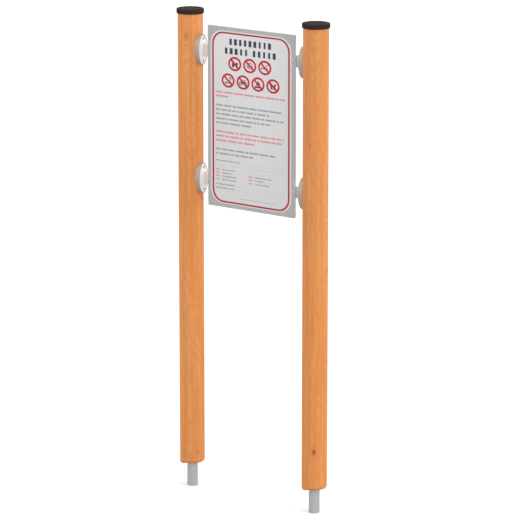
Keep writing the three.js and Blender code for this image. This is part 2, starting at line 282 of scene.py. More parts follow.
def arc(x, y, radius, start, end, steps):
    """Points of an outline from one angle to another, in degrees, round a centre."""
    points = []
    for i in range(steps + 1):
        angle = math.radians(start + (end - start) * i / steps)
        points.append((x + radius * math.cos(angle), y + radius * math.sin(angle)))
    return points


def oval(x, y, half_width, half_height, steps=64, start=0.0):
    """Points round an ellipse; few steps make a polygon."""
    angles = [math.tau * i / steps + start for i in range(steps)]
    return [(x + half_width * math.cos(angle), y + half_height * math.sin(angle)) for angle in angles]


def hexagon(flats):
    reach = flats / 2 / math.cos(math.pi / 6)
    return oval(0, 0, reach, reach, 6)


def lobed(radius, lobes, depth_share, steps=72):
    """The wavy outline of a lobed screw drive."""
    points = []
    for i in range(steps):
        angle = math.tau * i / steps
        reach = radius * (1 - depth_share * (0.5 - 0.5 * math.cos(lobes * angle)))
        points.append((reach * math.cos(angle), reach * math.sin(angle)))
    return points


def rounded_rectangle(width, height, radius, steps=CORNER_STEPS):
    """Corner points, anticlockwise, of a rectangle about the origin."""
    points = []
    for across, up, start in ((1, -1, -90), (1, 1, 0), (-1, 1, 90), (-1, -1, 180)):
        x = across * (width / 2 - radius)
        y = up * (height / 2 - radius)
        points += arc(x, y, radius, start, start + 90, steps)
    return points


def skinned(bm, rings, closed=False, capped=False):
    """Faces between neighbouring rings of points; a ring of one point is a pole."""
    rings = [[bm.verts.new(point) for point in ring] for ring in rings]
    pairs = list(zip(rings, rings[1:]))
    if closed:
        pairs.append((rings[-1], rings[0]))
    for first, second in pairs:
        steps = max(len(first), len(second))
        for i in range(steps):
            ends = (i, (i + 1) % steps)
            corners = [first[end % len(first)] for end in ends]
            corners += [second[end % len(second)] for end in reversed(ends)]
            bm.faces.new(dict.fromkeys(corners))
    if capped:
        bm.faces.new(rings[0])
        bm.faces.new(rings[-1])
    return bm


def turned(outline, steps=FINE_STEPS):
    """A form turned about Z from (radius, height) points; a closed outline repeats its first point."""
    closed = outline[0] == outline[-1]
    rings = []
    for radius, height in outline[:-1] if closed else outline:
        count = steps if radius > 0 else 1
        rings.append([turn_point(radius, math.tau * i / count, height) for i in range(count)])
    return skinned(bmesh.new(), rings, closed)


def prism(outline, low, high):
    """A bar along Z whose section is a list of (x, y) points."""
    return skinned(bmesh.new(), [[(x, y, z) for x, y in outline] for z in (low, high)], capped=True)


def round_hole(radius, depth):
    """A plain bar about Z that cuts a hole as deep on either side of height zero."""
    return turned([(0, -depth), (radius, -depth), (radius, depth), (0, depth)])


def moved(bm, place):
    bm.transform(place)
    return bm


def on_axis(side, height=0):
    return Matrix.Translation((AXIS[side], 0, height))


def new_object(name, data):
    made = bpy.data.objects.new(name, data)
    bpy.context.scene.collection.objects.link(made)
    return made


def object_from(bm):
    bmesh.ops.recalc_face_normals(bm, faces=bm.faces)
    mesh = bpy.data.meshes.new("piece")
    bm.to_mesh(mesh)
    bm.free()
    return new_object("piece", mesh)


def applied(made, kind, **settings):
    """Gives an object a modifier and bakes it into the mesh."""
    modifier = made.modifiers.new("shape", kind)
    for key, value in settings.items():
        setattr(modifier, key, value)
    depsgraph = bpy.context.evaluated_depsgraph_get()
    mesh = bpy.data.meshes.new_from_object(made.evaluated_get(depsgraph))
    made.modifiers.clear()
    made.data = mesh
    return made


def carved(made, tools, operation="DIFFERENCE"):
    """Cuts or joins an object with solids, which are used up."""
    for bm in tools:
        tool = object_from(bm)
        applied(made, "BOOLEAN", operation=operation, solver="EXACT", object=tool)
        bpy.data.objects.remove(tool)
    return made


def finished(made, name, material, stands_for=None, sharp=35):
    """Names and shades a piece, and hides the node that it stands for."""
    made.name = name
    made.data.name = name
    made.data.materials.clear()
    made.data.materials.append(material)
    for face in made.data.polygons:
        face.use_smooth = True
    made.data.set_sharp_from_angle(angle=math.radians(sharp))
    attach(made, "root")
    # The frame has materials with the plain names, so Blender puts a number after these
    if stands_for:
        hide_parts(stands_for)


def set_out(pattern, places, name, material, part, sharp=35):
    """Puts a copy of one modelled piece at each place, worked into the copy's own mesh."""
    for key, matrix in places.items():
        mesh = pattern.data.copy()
        mesh.transform(matrix)
        finished(new_object(name, mesh), f"{name}_{key}", material, f"{part}_{key}", sharp)
    bpy.data.objects.remove(pattern)


def places_of(part, turn, depth=0.0):
    """A place at the front of each of four alike nodes, or at a depth behind it."""
    places = {}
    for side, level in CORNERS:
        low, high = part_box(f"{part}_{side}_{level}")
        middle = (low + high) / 2
        places[f"{side}_{level}"] = Matrix.Translation((middle.x, low.y + depth, middle.z)) @ turn
    return places


# Node tools

def feed(tree, made, inputs):
    """Gives a node's inputs, by name or number, a value or a socket to link."""
    for key, value in inputs.items():
        if isinstance(value, bpy.types.NodeSocket):
            tree.links.new(value, made.inputs[key])
        else:
            made.inputs[key].default_value = value


def node(tree, kind, inputs=None, **settings):
    made = tree.nodes.new(kind)
    for key, value in settings.items():
        setattr(made, key, value)
    feed(tree, made, inputs or {})
    return made


def maths(tree, operation, first, second=0.0, third=0.0):
    return node(tree, "ShaderNodeMath", {0: first, 1: second, 2: third}, operation=operation).outputs[0]


def times(tree, first, second):
    return maths(tree, "MULTIPLY", first, second)


def vector_maths(tree, operation, first, second=(0, 0, 0)):
    made = node(tree, "ShaderNodeVectorMath", {0: first, 1: second}, operation=operation)
    return made.outputs["Value" if operation == "LENGTH" else "Vector"]


def stretched(tree, vector, along):
    """A place whose height is scaled, so that a pattern runs along the timber."""
    return vector_maths(tree, "MULTIPLY", vector, (1.0, 1.0, along))


def remapped(tree, value, low, high, new_low=0.0, new_high=1.0, smooth=True):
    made = node(
        tree, "ShaderNodeMapRange",
        {"Value": value, "From Min": low, "From Max": high, "To Min": new_low, "To Max": new_high},
        interpolation_type="SMOOTHSTEP" if smooth else "LINEAR",
    )
    return made.outputs["Result"]


def mixed(tree, factor, first, second):
    return node(tree, "ShaderNodeMix", {0: factor, 6: first, 7: second}, data_type="RGBA").outputs[2]


def noise_value(tree, vector, scale, detail=4.0, roughness=0.55):
    values = {"Vector": vector, "Scale": scale, "Detail": detail, "Roughness": roughness}
    return node(tree, "ShaderNodeTexNoise", values).outputs["Fac"]


def normal_part(tree, axis):
    """One component of the surface's own direction."""
    normal = node(tree, "ShaderNodeNewGeometry").outputs["Normal"]
    return node(tree, "ShaderNodeSeparateXYZ", {0: normal}).outputs[axis]


def tint(red, green, blue):
    """A colour from its three screen values, 0 to 255."""
    def linear(value):
        share = value / 255
        return share / 12.92 if share <= 0.04045 else ((share + 0.055) / 1.055) ** 2.4
    return (linear(red), linear(green), linear(blue), 1.0)


def toned(tree, patch, first, second):
    """Runs between two screen colours as the patches do."""
    return mixed(tree, patch, tint(*first), tint(*second))


# Effects that materials share

ORIGIN = (0.0, 0.0, 0.0)


def effect(form, name, inputs):
    """A node group: an input with three values is a vector, and so is an output called Normal."""
    tree = bpy.data.node_groups.new(name, "ShaderNodeTree")
    for label, value in inputs.items():
        kind = "NodeSocketVector" if isinstance(value, tuple) else "NodeSocketFloat"
        tree.interface.new_socket(label, in_out="INPUT", socket_type=kind).default_value = value
    results = form(tree, tree.nodes.new("NodeGroupInput").outputs)
    for label in results:
        kind = "NodeSocketVector" if label == "Normal" else "NodeSocketFloat"
        tree.interface.new_socket(label, in_out="OUTPUT", socket_type=kind)
    feed(tree, tree.nodes.new("NodeGroupOutput"), results)
    return tree


def mottle(tree, given):
    """Broad and fine patches that break up a plain colour."""
    broad = noise_value(tree, given["Vector"], given["Broad Scale"], 3.0)
    fine = noise_value(tree, given["Vector"], given["Fine Scale"], 5.0, 0.65)
    both = node(tree, "ShaderNodeMix", {0: given["Fine Share"], 2: broad, 3: fine}, data_type="FLOAT")
    return {"Value": both.outputs[0]}


def tooth(tree, given):
    """A fine even tooth, as on castings, moulded plastic and laminate."""
    height = noise_value(tree, given["Vector"], given["Scale"], 3.0, 0.6)
    values = {"Strength": given["Strength"], "Distance": given["Height"], "Height": height}
    return {"Normal": node(tree, "ShaderNodeBump", values).outputs["Normal"]}


def dust(tree, given):
    """Dust that settles on faces that look up, thicker in patches."""
    facing = remapped(tree, normal_part(tree, "Z"), 0.3, 1.0)
    patches = remapped(tree, noise_value(tree, given["Vector"], given["Scale"], 5.0, 0.6), 0.35, 0.7)
    return {"Mask": times(tree, times(tree, facing, patches), given["Amount"])}


def sideways(tree, given):
    """Where a surface faces along X, to either side."""
    aside = maths(tree, "ABSOLUTE", normal_part(tree, "X"))
    return {"Mask": remapped(tree, aside, given["Start"], given["End"])}


def knot(tree, given):
    """One knot: its dark heart, the halo round it and how far it pushes the growth rings aside."""
    apart = vector_maths(tree, "SUBTRACT", given["Vector"], given["Place"])
    ragged = node(tree, "ShaderNodeTexNoise", {"Vector": given["Vector"], "Scale": 260.0, "Detail": 3.0})
    shaken = vector_maths(tree, "SUBTRACT", ragged.outputs["Color"], (0.5, 0.5, 0.5))
    shaken = vector_maths(tree, "MULTIPLY", shaken, (0.005, 0.005, 0.008))
    flattened = stretched(tree, vector_maths(tree, "ADD", apart, shaken), 0.62)
    reach = maths(tree, "DIVIDE", vector_maths(tree, "LENGTH", flattened), given["Radius"])
    return {
        "Heart": times(tree, remapped(tree, reach, 0.65, 1.1, 1.0, 0.0), given["Depth"]),
        "Halo": times(tree, remapped(tree, reach, 0.9, 3.2, 1.0, 0.0), given["Depth"]),
        "Push": remapped(tree, reach, 0.5, 5.0, 1.0, 0.0),
    }


def grain(tree, given):
    """Growth rings and fibres of a turned softwood log, whose pith wanders beside the post's axis."""
    shift = node(tree, "ShaderNodeCombineXYZ", {axis: given["Seed"] for axis in "XYZ"})
    place = vector_maths(tree, "ADD", given["Vector"], shift.outputs[0])
    slow = vector_maths(tree, "MULTIPLY", place, (0.5, 0.5, 2.2))
    wander = node(tree, "ShaderNodeTexNoise", {"Vector": slow, "Scale": 1.0, "Detail": 1.5})
    pith = vector_maths(tree, "SUBTRACT", wander.outputs["Color"], (0.42, 0.62, 0.5))
    pith = vector_maths(tree, "MULTIPLY", pith, (0.06, 0.06, 0.0))
    flat = stretched(tree, vector_maths(tree, "SUBTRACT", given["Vector"], pith), 0.0)
    ripple = noise_value(tree, stretched(tree, place, 0.12), 38.0, 3.0)
    reach = maths(tree, "MULTIPLY_ADD", ripple, 0.006, vector_maths(tree, "LENGTH", flat))
    reach = maths(tree, "MULTIPLY_ADD", given["Push"], 0.007, reach)
    turn = times(tree, maths(tree, "DIVIDE", reach, given["Ring Spacing"]), math.tau)
    wave = maths(tree, "MULTIPLY_ADD", maths(tree, "SINE", turn), 0.5, 0.5)
    return {
        "Rings": maths(tree, "POWER", wave, 2.2),
        "Fibres": noise_value(tree, stretched(tree, place, 0.018), 900.0, 4.0, 0.7),
        "Streaks": noise_value(tree, stretched(tree, place, 0.035), 70.0, 4.0, 0.6),
    }


EFFECTS = {form: effect(form, name, inputs) for form, name, inputs in (
    (mottle, "surface_mottle",
     {"Vector": ORIGIN, "Broad Scale": 8.0, "Fine Scale": 160.0, "Fine Share": 0.4}),
    (tooth, "fine_tooth", {"Vector": ORIGIN, "Scale": 900.0, "Height": 0.0001, "Strength": 0.3}),
    (dust, "settled_dust", {"Vector": ORIGIN, "Amount": 0.3, "Scale": 60.0}),
    (sideways, "faces_sideways", {"Start": 0.5, "End": 0.85}),
    (knot, "timber_knot", {"Vector": ORIGIN, "Place": ORIGIN, "Radius": 0.006, "Depth": 1.0}),
    (grain, "timber_grain", {"Vector": ORIGIN, "Ring Spacing": 0.0032, "Push": 0.0, "Seed": 0.0}),
)}


def placed(tree, form, inputs):
    """An effect in a material, with the material's own values."""
    return node(tree, "ShaderNodeGroup", inputs, node_tree=EFFECTS[form]).outputs


def mottled(tree, here, broad, fine, share=0.4):
    inputs = {"Vector": here, "Broad Scale": broad, "Fine Scale": fine, "Fine Share": share}
    return placed(tree, mottle, inputs)["Value"]


def new_material(name, **constants):
    """A material with one Principled shader, whose plain values are set on its own sockets."""
    material = bpy.data.materials.new(name)
    material.use_nodes = True
    tree = material.node_tree
    shader = tree.nodes["Principled BSDF"]
    for key, value in constants.items():
        shader.inputs[key.replace("_", " ")].default_value = value
    here = node(tree, "ShaderNodeTexCoord").outputs["Object"]
    return material, tree, shader, here


def surfaced(tree, shader, here, colour, rough, grit):
    """Gives a shader its colour, its roughness and a fine tooth of one scale, height and strength."""
    scale, height, strength = grit
    teeth = placed(tree, tooth, {"Vector": here, "Scale": scale, "Height": height, "Strength": strength})
    feed(tree, shader, {"Base Color": colour, "Roughness": rough, "Normal": teeth["Normal"]})


# Materials

WOOD_PALE = tint(225, 153, 92)
WOOD_WARM = tint(211, 134, 70)
WOOD_STREAK = tint(191, 120, 64)
# Painted shade: the right post is darkened all over, where it stands in stronger light than the left
PAINTED_POST_SHADE = {"left": 0.0, "right": 0.16}
WOOD_SEED = {"left": 0.0, "right": 3.7}
KNOT_HEART = tint(134, 56, 48)
KNOT_HALO = tint(196, 96, 48)
KNOTS = {
    "left": (
        ((0.0452, -0.0215, 0.152), 0.0060, 0.3),
        ((0.0498, 0.0020, 1.190), 0.0060, 0.4),
        ((0.0155, -0.0475, 1.839), 0.0085, 0.26),
        ((-0.0480, 0.0140, 0.760), 0.0070, 0.6),
        ((0.0180, 0.0470, 1.320), 0.0080, 0.6),
    ),
    "right": (
        ((0.0275, -0.0418, 0.259), 0.0075, 0.75),
        ((0.0163, -0.0473, 0.739), 0.0050, 0.22),
        ((0.0163, -0.0473, 0.768), 0.0040, 0.18),
        ((0.0087, -0.0492, 1.471), 0.0090, 0.15),
        ((-0.0100, 0.0490, 0.560), 0.0075, 0.6),
        ((0.0470, 0.0170, 0.980), 0.0060, 0.5),
    ),
}


def timber_material(side):
    """Oiled softwood: long grain, soft streaks and knots at their places on one post, and painted shade over
    the whole right post.
    """
    material, tree, shader, here = new_material(f"timber_{side}", Specular_IOR_Level=0.25)
    local = vector_maths(tree, "SUBTRACT", here, (AXIS[side], 0.0, 0.0))
    marks = {"Heart": 0.0, "Halo": 0.0, "Push": 0.0}
    for place, radius, depth in KNOTS[side]:
        found = placed(tree, knot, {"Vector": local, "Place": place, "Radius": radius, "Depth": depth})
        marks = {label: maths(tree, "MAXIMUM", found[label], value) for label, value in marks.items()}
    wood = placed(tree, grain, {"Vector": local, "Push": marks["Push"], "Seed": WOOD_SEED[side]})
    patches = noise_value(tree, stretched(tree, local, 0.3), 14.0, 3.0)
    colour = mixed(tree, remapped(tree, wood["Streaks"], 0.32, 0.68), WOOD_PALE, WOOD_WARM)
    for share, over in (
        (times(tree, wood["Rings"], 0.62), WOOD_WARM),
        (remapped(tree, patches, 0.52, 0.75, 0.0, 0.35), WOOD_STREAK),
        (remapped(tree, wood["Fibres"], 0.5, 0.8, 0.0, 0.5), WOOD_STREAK),
        # painted shade over the whole post
        (PAINTED_POST_SHADE[side], WOOD_STREAK),
        (times(tree, marks["Halo"], 0.45), KNOT_HALO),
        (times(tree, marks["Heart"], 0.9), KNOT_HEART),
    ):
        colour = mixed(tree, share, colour, over)
    relief = maths(tree, "MULTIPLY_ADD", wood["Rings"], 0.35, wood["Fibres"])
    bump = node(tree, "ShaderNodeBump", {"Strength": 0.45, "Distance": 0.0003, "Height": relief})
    rough = remapped(tree, wood["Fibres"], 0.3, 0.7, 0.42, 0.6)
    feed(tree, shader, {"Base Color": colour, "Roughness": rough, "Normal": bump.outputs["Normal"]})
    return material


def cap_material():
    """Dark moulded plastic with a fine tooth and a little dust on top."""
    material, tree, shader, here = new_material("cap_plastic", Specular_IOR_Level=0.02)
    patch = mottled(tree, here, 30.0, 500.0)
    settled = placed(tree, dust, {"Vector": here, "Amount": 0.02, "Scale": 90.0})["Mask"]
    colour = mixed(tree, settled, toned(tree, patch, (48, 37, 38), (58, 47, 48)), tint(150, 142, 138))
    rough = remapped(tree, patch, 0.3, 0.7, 0.75, 0.88)
    surfaced(tree, shader, here, colour, rough, (1600.0, 0.00008, 0.35))
    return material


def zinc_material():
    """Hot-dip zinc: a dull grey skin with faint crystals."""
    material, tree, shader, here = new_material("galvanised_steel", Metallic=0.6, Specular_IOR_Level=0.5)
    crystals = node(tree, "ShaderNodeTexVoronoi", {"Vector": here, "Scale": 230.0, "Randomness": 1.0})
    crystal = node(tree, "ShaderNodeSeparateColor", {0: crystals.outputs["Color"]}).outputs[0]
    broad = times(tree, mottled(tree, here, 22.0, 340.0), 0.75)
    blend = maths(tree, "MULTIPLY_ADD", crystal, 0.25, broad)
    colour = toned(tree, remapped(tree, blend, 0.25, 0.7), (182, 183, 185), (196, 197, 199))
    rough = remapped(tree, blend, 0.2, 0.8, 0.5, 0.4)
    surfaced(tree, shader, here, colour, rough, (900.0, 0.00002, 0.25))
    return material


def casting_material():
    """Cast aluminium: a matt face made pale by painted light, the tab plain, rim and flank in warm painted
    shade.
    """
    material, tree, shader, here = new_material("cast_aluminium")
    patch = mottled(tree, here, 45.0, 700.0)
    face = placed(tree, sideways, {"Start": 0.8, "End": 0.97})["Mask"]
    outward = node(tree, "ShaderNodeAttribute", attribute_name=RIM_SHARE).outputs["Fac"]
    # Painted shade: the outer rim and flank are darkened, and also made less metallic
    painted_shade_rim = remapped(tree, outward, 0.85, 0.95)
    plain = toned(tree, patch, (219, 217, 217), (231, 229, 229))
    # Painted light: the face that looks along X is painted near white, as if lit from the side
    painted_lit_face = toned(tree, patch, (250, 240, 236), (254, 246, 242))
    # Painted shade, warmed as a painted reflection of the timber beside it
    painted_shade_tint = toned(tree, patch, (172, 153, 143), (186, 167, 156))
    metal = remapped(tree, face, 0.0, 1.0, 0.8, 0.12)
    metal = times(tree, metal, maths(tree, "MULTIPLY_ADD", painted_shade_rim, -0.7, 1.0))
    feed(tree, shader, {"Metallic": metal})
    colour = mixed(tree, painted_shade_rim, mixed(tree, face, plain, painted_lit_face), painted_shade_tint)
    rough = remapped(tree, patch, 0.3, 0.7, 0.44, 0.34)
    surfaced(tree, shader, here, colour, rough, (1300.0, 0.0001, 0.3))
    return material


def laminate_material():
    """Grey compact laminate with a fine matt texture, its sideways faces paler and bluer: partly the core's
    colour, partly painted light.
    """
    material, tree, shader, here = new_material("board_laminate", Specular_IOR_Level=0.4)
    patch = mottled(tree, here, 6.0, 600.0, 0.5)
    flat = toned(tree, patch, (167, 166, 166), (179, 178, 178))
    # Sideways faces: partly the cut core's own colour, partly painted light from the side
    cut_and_lit_side = toned(tree, patch, (196, 197, 202), (208, 209, 214))
    side = placed(tree, sideways, {"Start": 0.5, "End": 0.85})["Mask"]
    rough = remapped(tree, patch, 0.3, 0.7, 0.52, 0.62)
    surfaced(tree, shader, here, mixed(tree, side, flat, cut_and_lit_side), rough, (1100.0, 0.0001, 0.3))
    return material


def even_material(name, first, second, scales, roughness, grit, **constants):
    """One colour that is only a little mottled and toothed."""
    material, tree, shader, here = new_material(name, **constants)
    patch = mottled(tree, here, *scales)
    rough = remapped(tree, patch, 0.3, 0.7, *roughness)
    surfaced(tree, shader, here, toned(tree, patch, first, second), rough, grit)
    return material


def print_material(name, first, second, roughness=0.42):
    """A printed colour under a semi-matt film, with the press's faint unevenness."""
    around = (roughness - 0.05, roughness + 0.05)
    grit = (500.0, 0.00004, 0.2)
    return even_material(name, first, second, (9.0, 1500.0, 0.35), around, grit, Specular_IOR_Level=0.45)


def fastener_material(name, first, second, broad, roughness, metallic):
    """Handled metal with a very fine tooth."""
    grit = (2400.0, 0.00003, 0.3)
    return even_material(name, first, second, (broad, 1800.0), roughness, grit, Metallic=metallic)


TIMBER = {side: timber_material(side) for side in SIDES}
CAP_PLASTIC = cap_material()
ZINC = zinc_material()
CASTING = casting_material()
LAMINATE = laminate_material()
FILM = print_material("print_film", (217, 217, 217), (209, 209, 209))
INK_RED = print_material("ink_red", (192, 10, 32), (180, 6, 26), 0.4)
INK_CRIMSON = print_material("ink_crimson", (174, 12, 34), (164, 8, 28), 0.4)
INK_ROSE = print_material("ink_rose", (220, 142, 149), (213, 134, 141))
INK_DARK = print_material("ink_dark", (50, 58, 76), (42, 50, 68), 0.4)
INK_GREY = print_material("ink_grey", (160, 161, 165), (152, 153, 157))
INK_FAINT = print_material("ink_faint", (176, 176, 178), (168, 168, 170))
INK_WHITE = print_material("ink_white", (228, 214, 215), (220, 206, 207))
STAINLESS = fastener_material("stainless_steel", (188, 188, 190), (214, 214, 216), 120.0, (0.24, 0.4), 1.0)
BLACKENED = fastener_material("blackened_steel", (34, 31, 32), (52, 48, 49), 150.0, (0.6, 0.48), 0.5)


# Posts, caps and tubes

def post_rows():
    """Heights of the rings of vertices up the straight part of a post."""
    start = WOOD_FOOT + FOOT_ROUND
    end = WOOD_TOP - TOP_CHAMFER
    count = round((end - start) / POST_ROW)
    return [start + (end - start) * i / count for i in range(1, count)]


def shape_timber(bm):
    """Gives a post the slight waviness of turning, and a foot left longer and sharper on one side."""
    round_start = POST_RADIUS - FOOT_ROUND
    for vertex in bm.verts:
        x, y, z = vertex.co
        reach = math.hypot(x, y)
        if reach < SOCKET_RADIUS * SOCKET_MARGIN_SHARE:
            continue
        apart = abs(math.remainder(math.atan2(y, x) - TONGUE_AT, math.tau)) / TONGUE_HALF
        tongue = 0.5 + 0.5 * math.cos(math.pi * min(apart, 1.0))
        foot = FOOT_ROUND + (TONGUE_ROUND - FOOT_ROUND) * tongue
        above = z - WOOD_FOOT
        if above <= FOOT_ROUND:
            if reach > round_start:
                reach = POST_RADIUS - (POST_RADIUS - reach) * foot / FOOT_ROUND
            else:
                share = (reach - SOCKET_RADIUS) / (round_start - SOCKET_RADIUS)
                reach = SOCKET_RADIUS + share * (POST_RADIUS - foot - SOCKET_RADIUS)
            above *= foot / FOOT_ROUND
        above -= TONGUE_DROP * tongue * max(0.0, 1 - above / (FOOT_ROUND * TONGUE_FADE_SHARE))
        wave = noise.noise(Vector([value * scale for value, scale in zip((x, y, z), TURNING_SCALES)]))
        reach -= TURNING_WAVE * (0.5 + 0.5 * wave)
        flat = Vector((x, y, 0)).normalized() * reach
        vertex.co = (flat.x, flat.y, WOOD_FOOT + above)


def build_post(side):
    floor_end = POST_RADIUS - FOOT_ROUND
    top = TUBE_TOP + SOCKET_GAP
    outline = [(0, top), (SOCKET_RADIUS, top), (SOCKET_RADIUS, WOOD_FOOT)]
    outline += [(SOCKET_RADIUS + (floor_end - SOCKET_RADIUS) * share, WOOD_FOOT) for share in FLOOR_SHARES]
    outline += arc(floor_end, WOOD_FOOT + FOOT_ROUND, FOOT_ROUND, -90, 0, ROUND_STEPS)
    outline += [(POST_RADIUS, height) for height in post_rows()]
    outline += [(POST_RADIUS, WOOD_TOP - TOP_CHAMFER), (POST_RADIUS - TOP_CHAMFER, WOOD_TOP), (0, WOOD_TOP)]
    bm = turned(outline, POST_STEPS)
    shape_timber(bm)
    post = object_from(moved(bm, on_axis(side)))
    for level in LEVELS:
        low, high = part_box(f"anchor_washer_{side}_{level}")
        middle = (low + high) / 2
        place = Matrix.Translation((middle.x, POST_RADIUS, middle.z)) @ TO_BACK
        carved(post, [moved(round_hole(RECESS_RADIUS, RECESS_DEPTH), place)])
    finished(post, f"timber_post_{side}", TIMBER[side], f"post_{side}")


def build_cap(side):
    inner = CAP_RADIUS - CAP_WALL
    underside = CAP_TOP - CAP_LID
    throat = CAP_SCREW["radius"] + HOLE_GAP
    mouth = CAP_SCREW["head"] + HOLE_GAP
    outline = [(throat, underside), (inner, underside), (inner, CAP_FOOT)]
    outline += arc(CAP_RADIUS - CAP_LIP_ROUND, CAP_FOOT + CAP_LIP_ROUND, CAP_LIP_ROUND, -90, 0, CAP_LIP_STEPS)
    outline += [(CAP_RADIUS, CAP_FOOT + CAP_LID)]
    outline += arc(CAP_RADIUS - CAP_EDGE_ROUND, CAP_TOP - CAP_EDGE_ROUND, CAP_EDGE_ROUND, 0, 90, ROUND_STEPS)
    dish_floor = CAP_TOP - CAP_DISH_DEPTH
    outline += [(CAP_DISH_RADIUS + CAP_DISH_DEPTH * CAP_DISH_SLOPE, CAP_TOP), (CAP_DISH_RADIUS, dish_floor)]
    outline += [(mouth * CAP_BOSS_FOOT_SHARE, dish_floor), (mouth * CAP_BOSS_TOP_SHARE, CAP_TOP)]
    outline += [(mouth, CAP_TOP)]
    outline += [(throat, CAP_TOP - (mouth - throat)), (throat, underside)]
    cap = object_from(moved(turned(outline, POST_STEPS), on_axis(side)))
    finished(cap, f"moulded_cap_{side}", CAP_PLASTIC, f"post_cap_{side}", 50)


def build_tube(side):
    inner = TUBE_RADIUS - TUBE_WALL
    chamfer = TUBE_END_CHAMFER
    outline = [
        (inner, chamfer), (inner + chamfer, 0), (TUBE_RADIUS - chamfer, 0), (TUBE_RADIUS, chamfer),
        (TUBE_RADIUS, WOOD_FOOT), (TUBE_RADIUS, TUBE_TOP), (inner, TUBE_TOP), (inner, WOOD_FOOT),
        (inner, chamfer),
    ]
    tube = object_from(moved(turned(outline, TUBE_STEPS), on_axis(side)))
    finished(tube, f"ground_tube_{side}", ZINC, f"anchor_tube_{side}")


# Connectors

def saddle_outline():
    """Rings of the saddle as (half width, half height, reach from the post's axis)."""
    face = POST_RADIUS + FACE_REACH
    rings = [(0.0, 0.0, SADDLE_START), (FACE_HALF_WIDTH, FACE_HALF_HEIGHT, SADDLE_START)]
    for i in range(RIM_STEPS + 1):
        turn = math.pi / 2 * i / RIM_STEPS
        inset = RIM_ROUND * (1 - math.cos(turn))
        reach = face - RIM_ROUND * (1 - math.sin(turn))
        rings.append((FACE_HALF_WIDTH - inset, FACE_HALF_HEIGHT - inset, reach))
    half_width = FACE_HALF_WIDTH - RIM_ROUND
    half_height = FACE_HALF_HEIGHT - RIM_ROUND
    for share in FACE_SHARES:
        rings.append((half_width * share, half_height * share, face + FACE_RISE * (1 - share * share)))
    return rings


def saddle_form():
    rings = []
    for half_width, half_height, reach in saddle_outline():
        count = SADDLE_STEPS if half_width > 0 else 1
        rings.append([(reach, y, z) for y, z in oval(0, 0, half_width, half_height, count)])
    return skinned(bmesh.new(), rings)


def tab_form():
    """The flat tab, its front 0.3 mm behind the board, its end rounded past the bolt."""
    root = POST_RADIUS + FACE_REACH - RIM_ROUND
    straight = TAB_TIP_HALF - TAB_TIP_ROUND
    outline = [(root, -TAB_ROOT_HALF)]
    outline += arc(TAB_TIP - TAB_TIP_ROUND, -straight, TAB_TIP_ROUND, -90, 0, TAB_STEPS)
    outline += arc(TAB_TIP - TAB_TIP_ROUND, straight, TAB_TIP_ROUND, 0, 90, TAB_STEPS)
    outline += [(root, TAB_ROOT_HALF)]
    return moved(prism(outline, -SEAT_GAP - TAB_THICKNESS, -SEAT_GAP), TO_READER)


def countersink(screw):
    """What a countersunk screw's hole takes away, about Z, its mouth at height zero."""
    length = screw["length"]
    throat = screw["radius"] + HOLE_GAP
    mouth = screw["head"] + HOLE_GAP
    outline = [(0, -length), (throat, -length), (throat, throat - mouth), (mouth, 0)]
    return turned(outline + [(mouth, RIM_ROUND), (0, RIM_ROUND)])


def casting_cuts():
    """What is machined away for the post, the two screws and the bolt."""
    hug = POST_RADIUS + SEAT_GAP
    over = FACE_HALF_HEIGHT * HUG_PAST_SHARE
    cuts = [turned([(0, -over), (hug, -over), (hug, over), (0, over)], HUG_STEPS)]
    middle = (connector_low.z + connector_high.z) / 2
    for end in ("bottom", "top"):
        low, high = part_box(f"connector_screw_left_lower_{end}")
        offset = (low.z + high.z) / 2 - middle
        place = Matrix.Translation((high.x + POST_ACROSS, 0, offset)) @ ALONG_X
        cuts.append(moved(countersink(WOOD_SCREW), place))
    place = Matrix.Translation((BOLT_REACH, 0, 0)) @ TO_READER
    return cuts + [moved(round_hole(BOLT_RADIUS + HOLE_GAP, TAB_THICKNESS * 2), place)]


def mark_rim(casting):
    """Keeps how far out on the oval each point lies, a little further at the back, where the painted shade
    reaches further.
    """
    shares = casting.data.attributes.new(RIM_SHARE, "FLOAT", "POINT")
    for vertex, share in zip(casting.data.vertices, shares.data):
        aside = max(abs(vertex.co.y), vertex.co.y + BACK_SHADE_EXTRA)
        share.value = math.hypot(aside / FACE_HALF_WIDTH, vertex.co.z / FACE_HALF_HEIGHT)


def build_connectors():
    """Four alike castings: saddle and tab fused with soft fillets, then machined."""
    casting = object_from(saddle_form())
    carved(casting, [tab_form()], "UNION")
    applied(casting, "REMESH", mode="VOXEL", voxel_size=CASTING_VOXEL)
    applied(casting, "SMOOTH", factor=0.5, iterations=CASTING_SMOOTHING)
    carved(casting, casting_cuts())
    mark_rim(casting)
    places = {}
    for side, level in CORNERS:
        low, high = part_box(f"connector_{side}_{level}")
        places[f"{side}_{level}"] = on_axis(side, (low.z + high.z) / 2) @ FACING[side]
    set_out(casting, places, "casting", CASTING, "connector", 40)


# Fasteners

def countersunk_screw(screw, drive):
    """Flat-headed screw about Z, its head at height zero, with a shaped drive sunk into it."""
    radius = screw["radius"]
    head = screw["head"]
    length = screw["length"]
    lip = head * HEAD_LIP_SHARE
    outline = [(0, -length), (radius, -length + radius * SCREW_POINT_SHARE), (radius, radius - head)]
    outline += [(head - lip, -lip * LIP_FLANK_SHARE), (head, -lip), (head - lip, 0), (0, 0)]
    return carved(object_from(turned(outline)), [prism(drive, -DRIVE_DEPTH, DRIVE_DEPTH)])


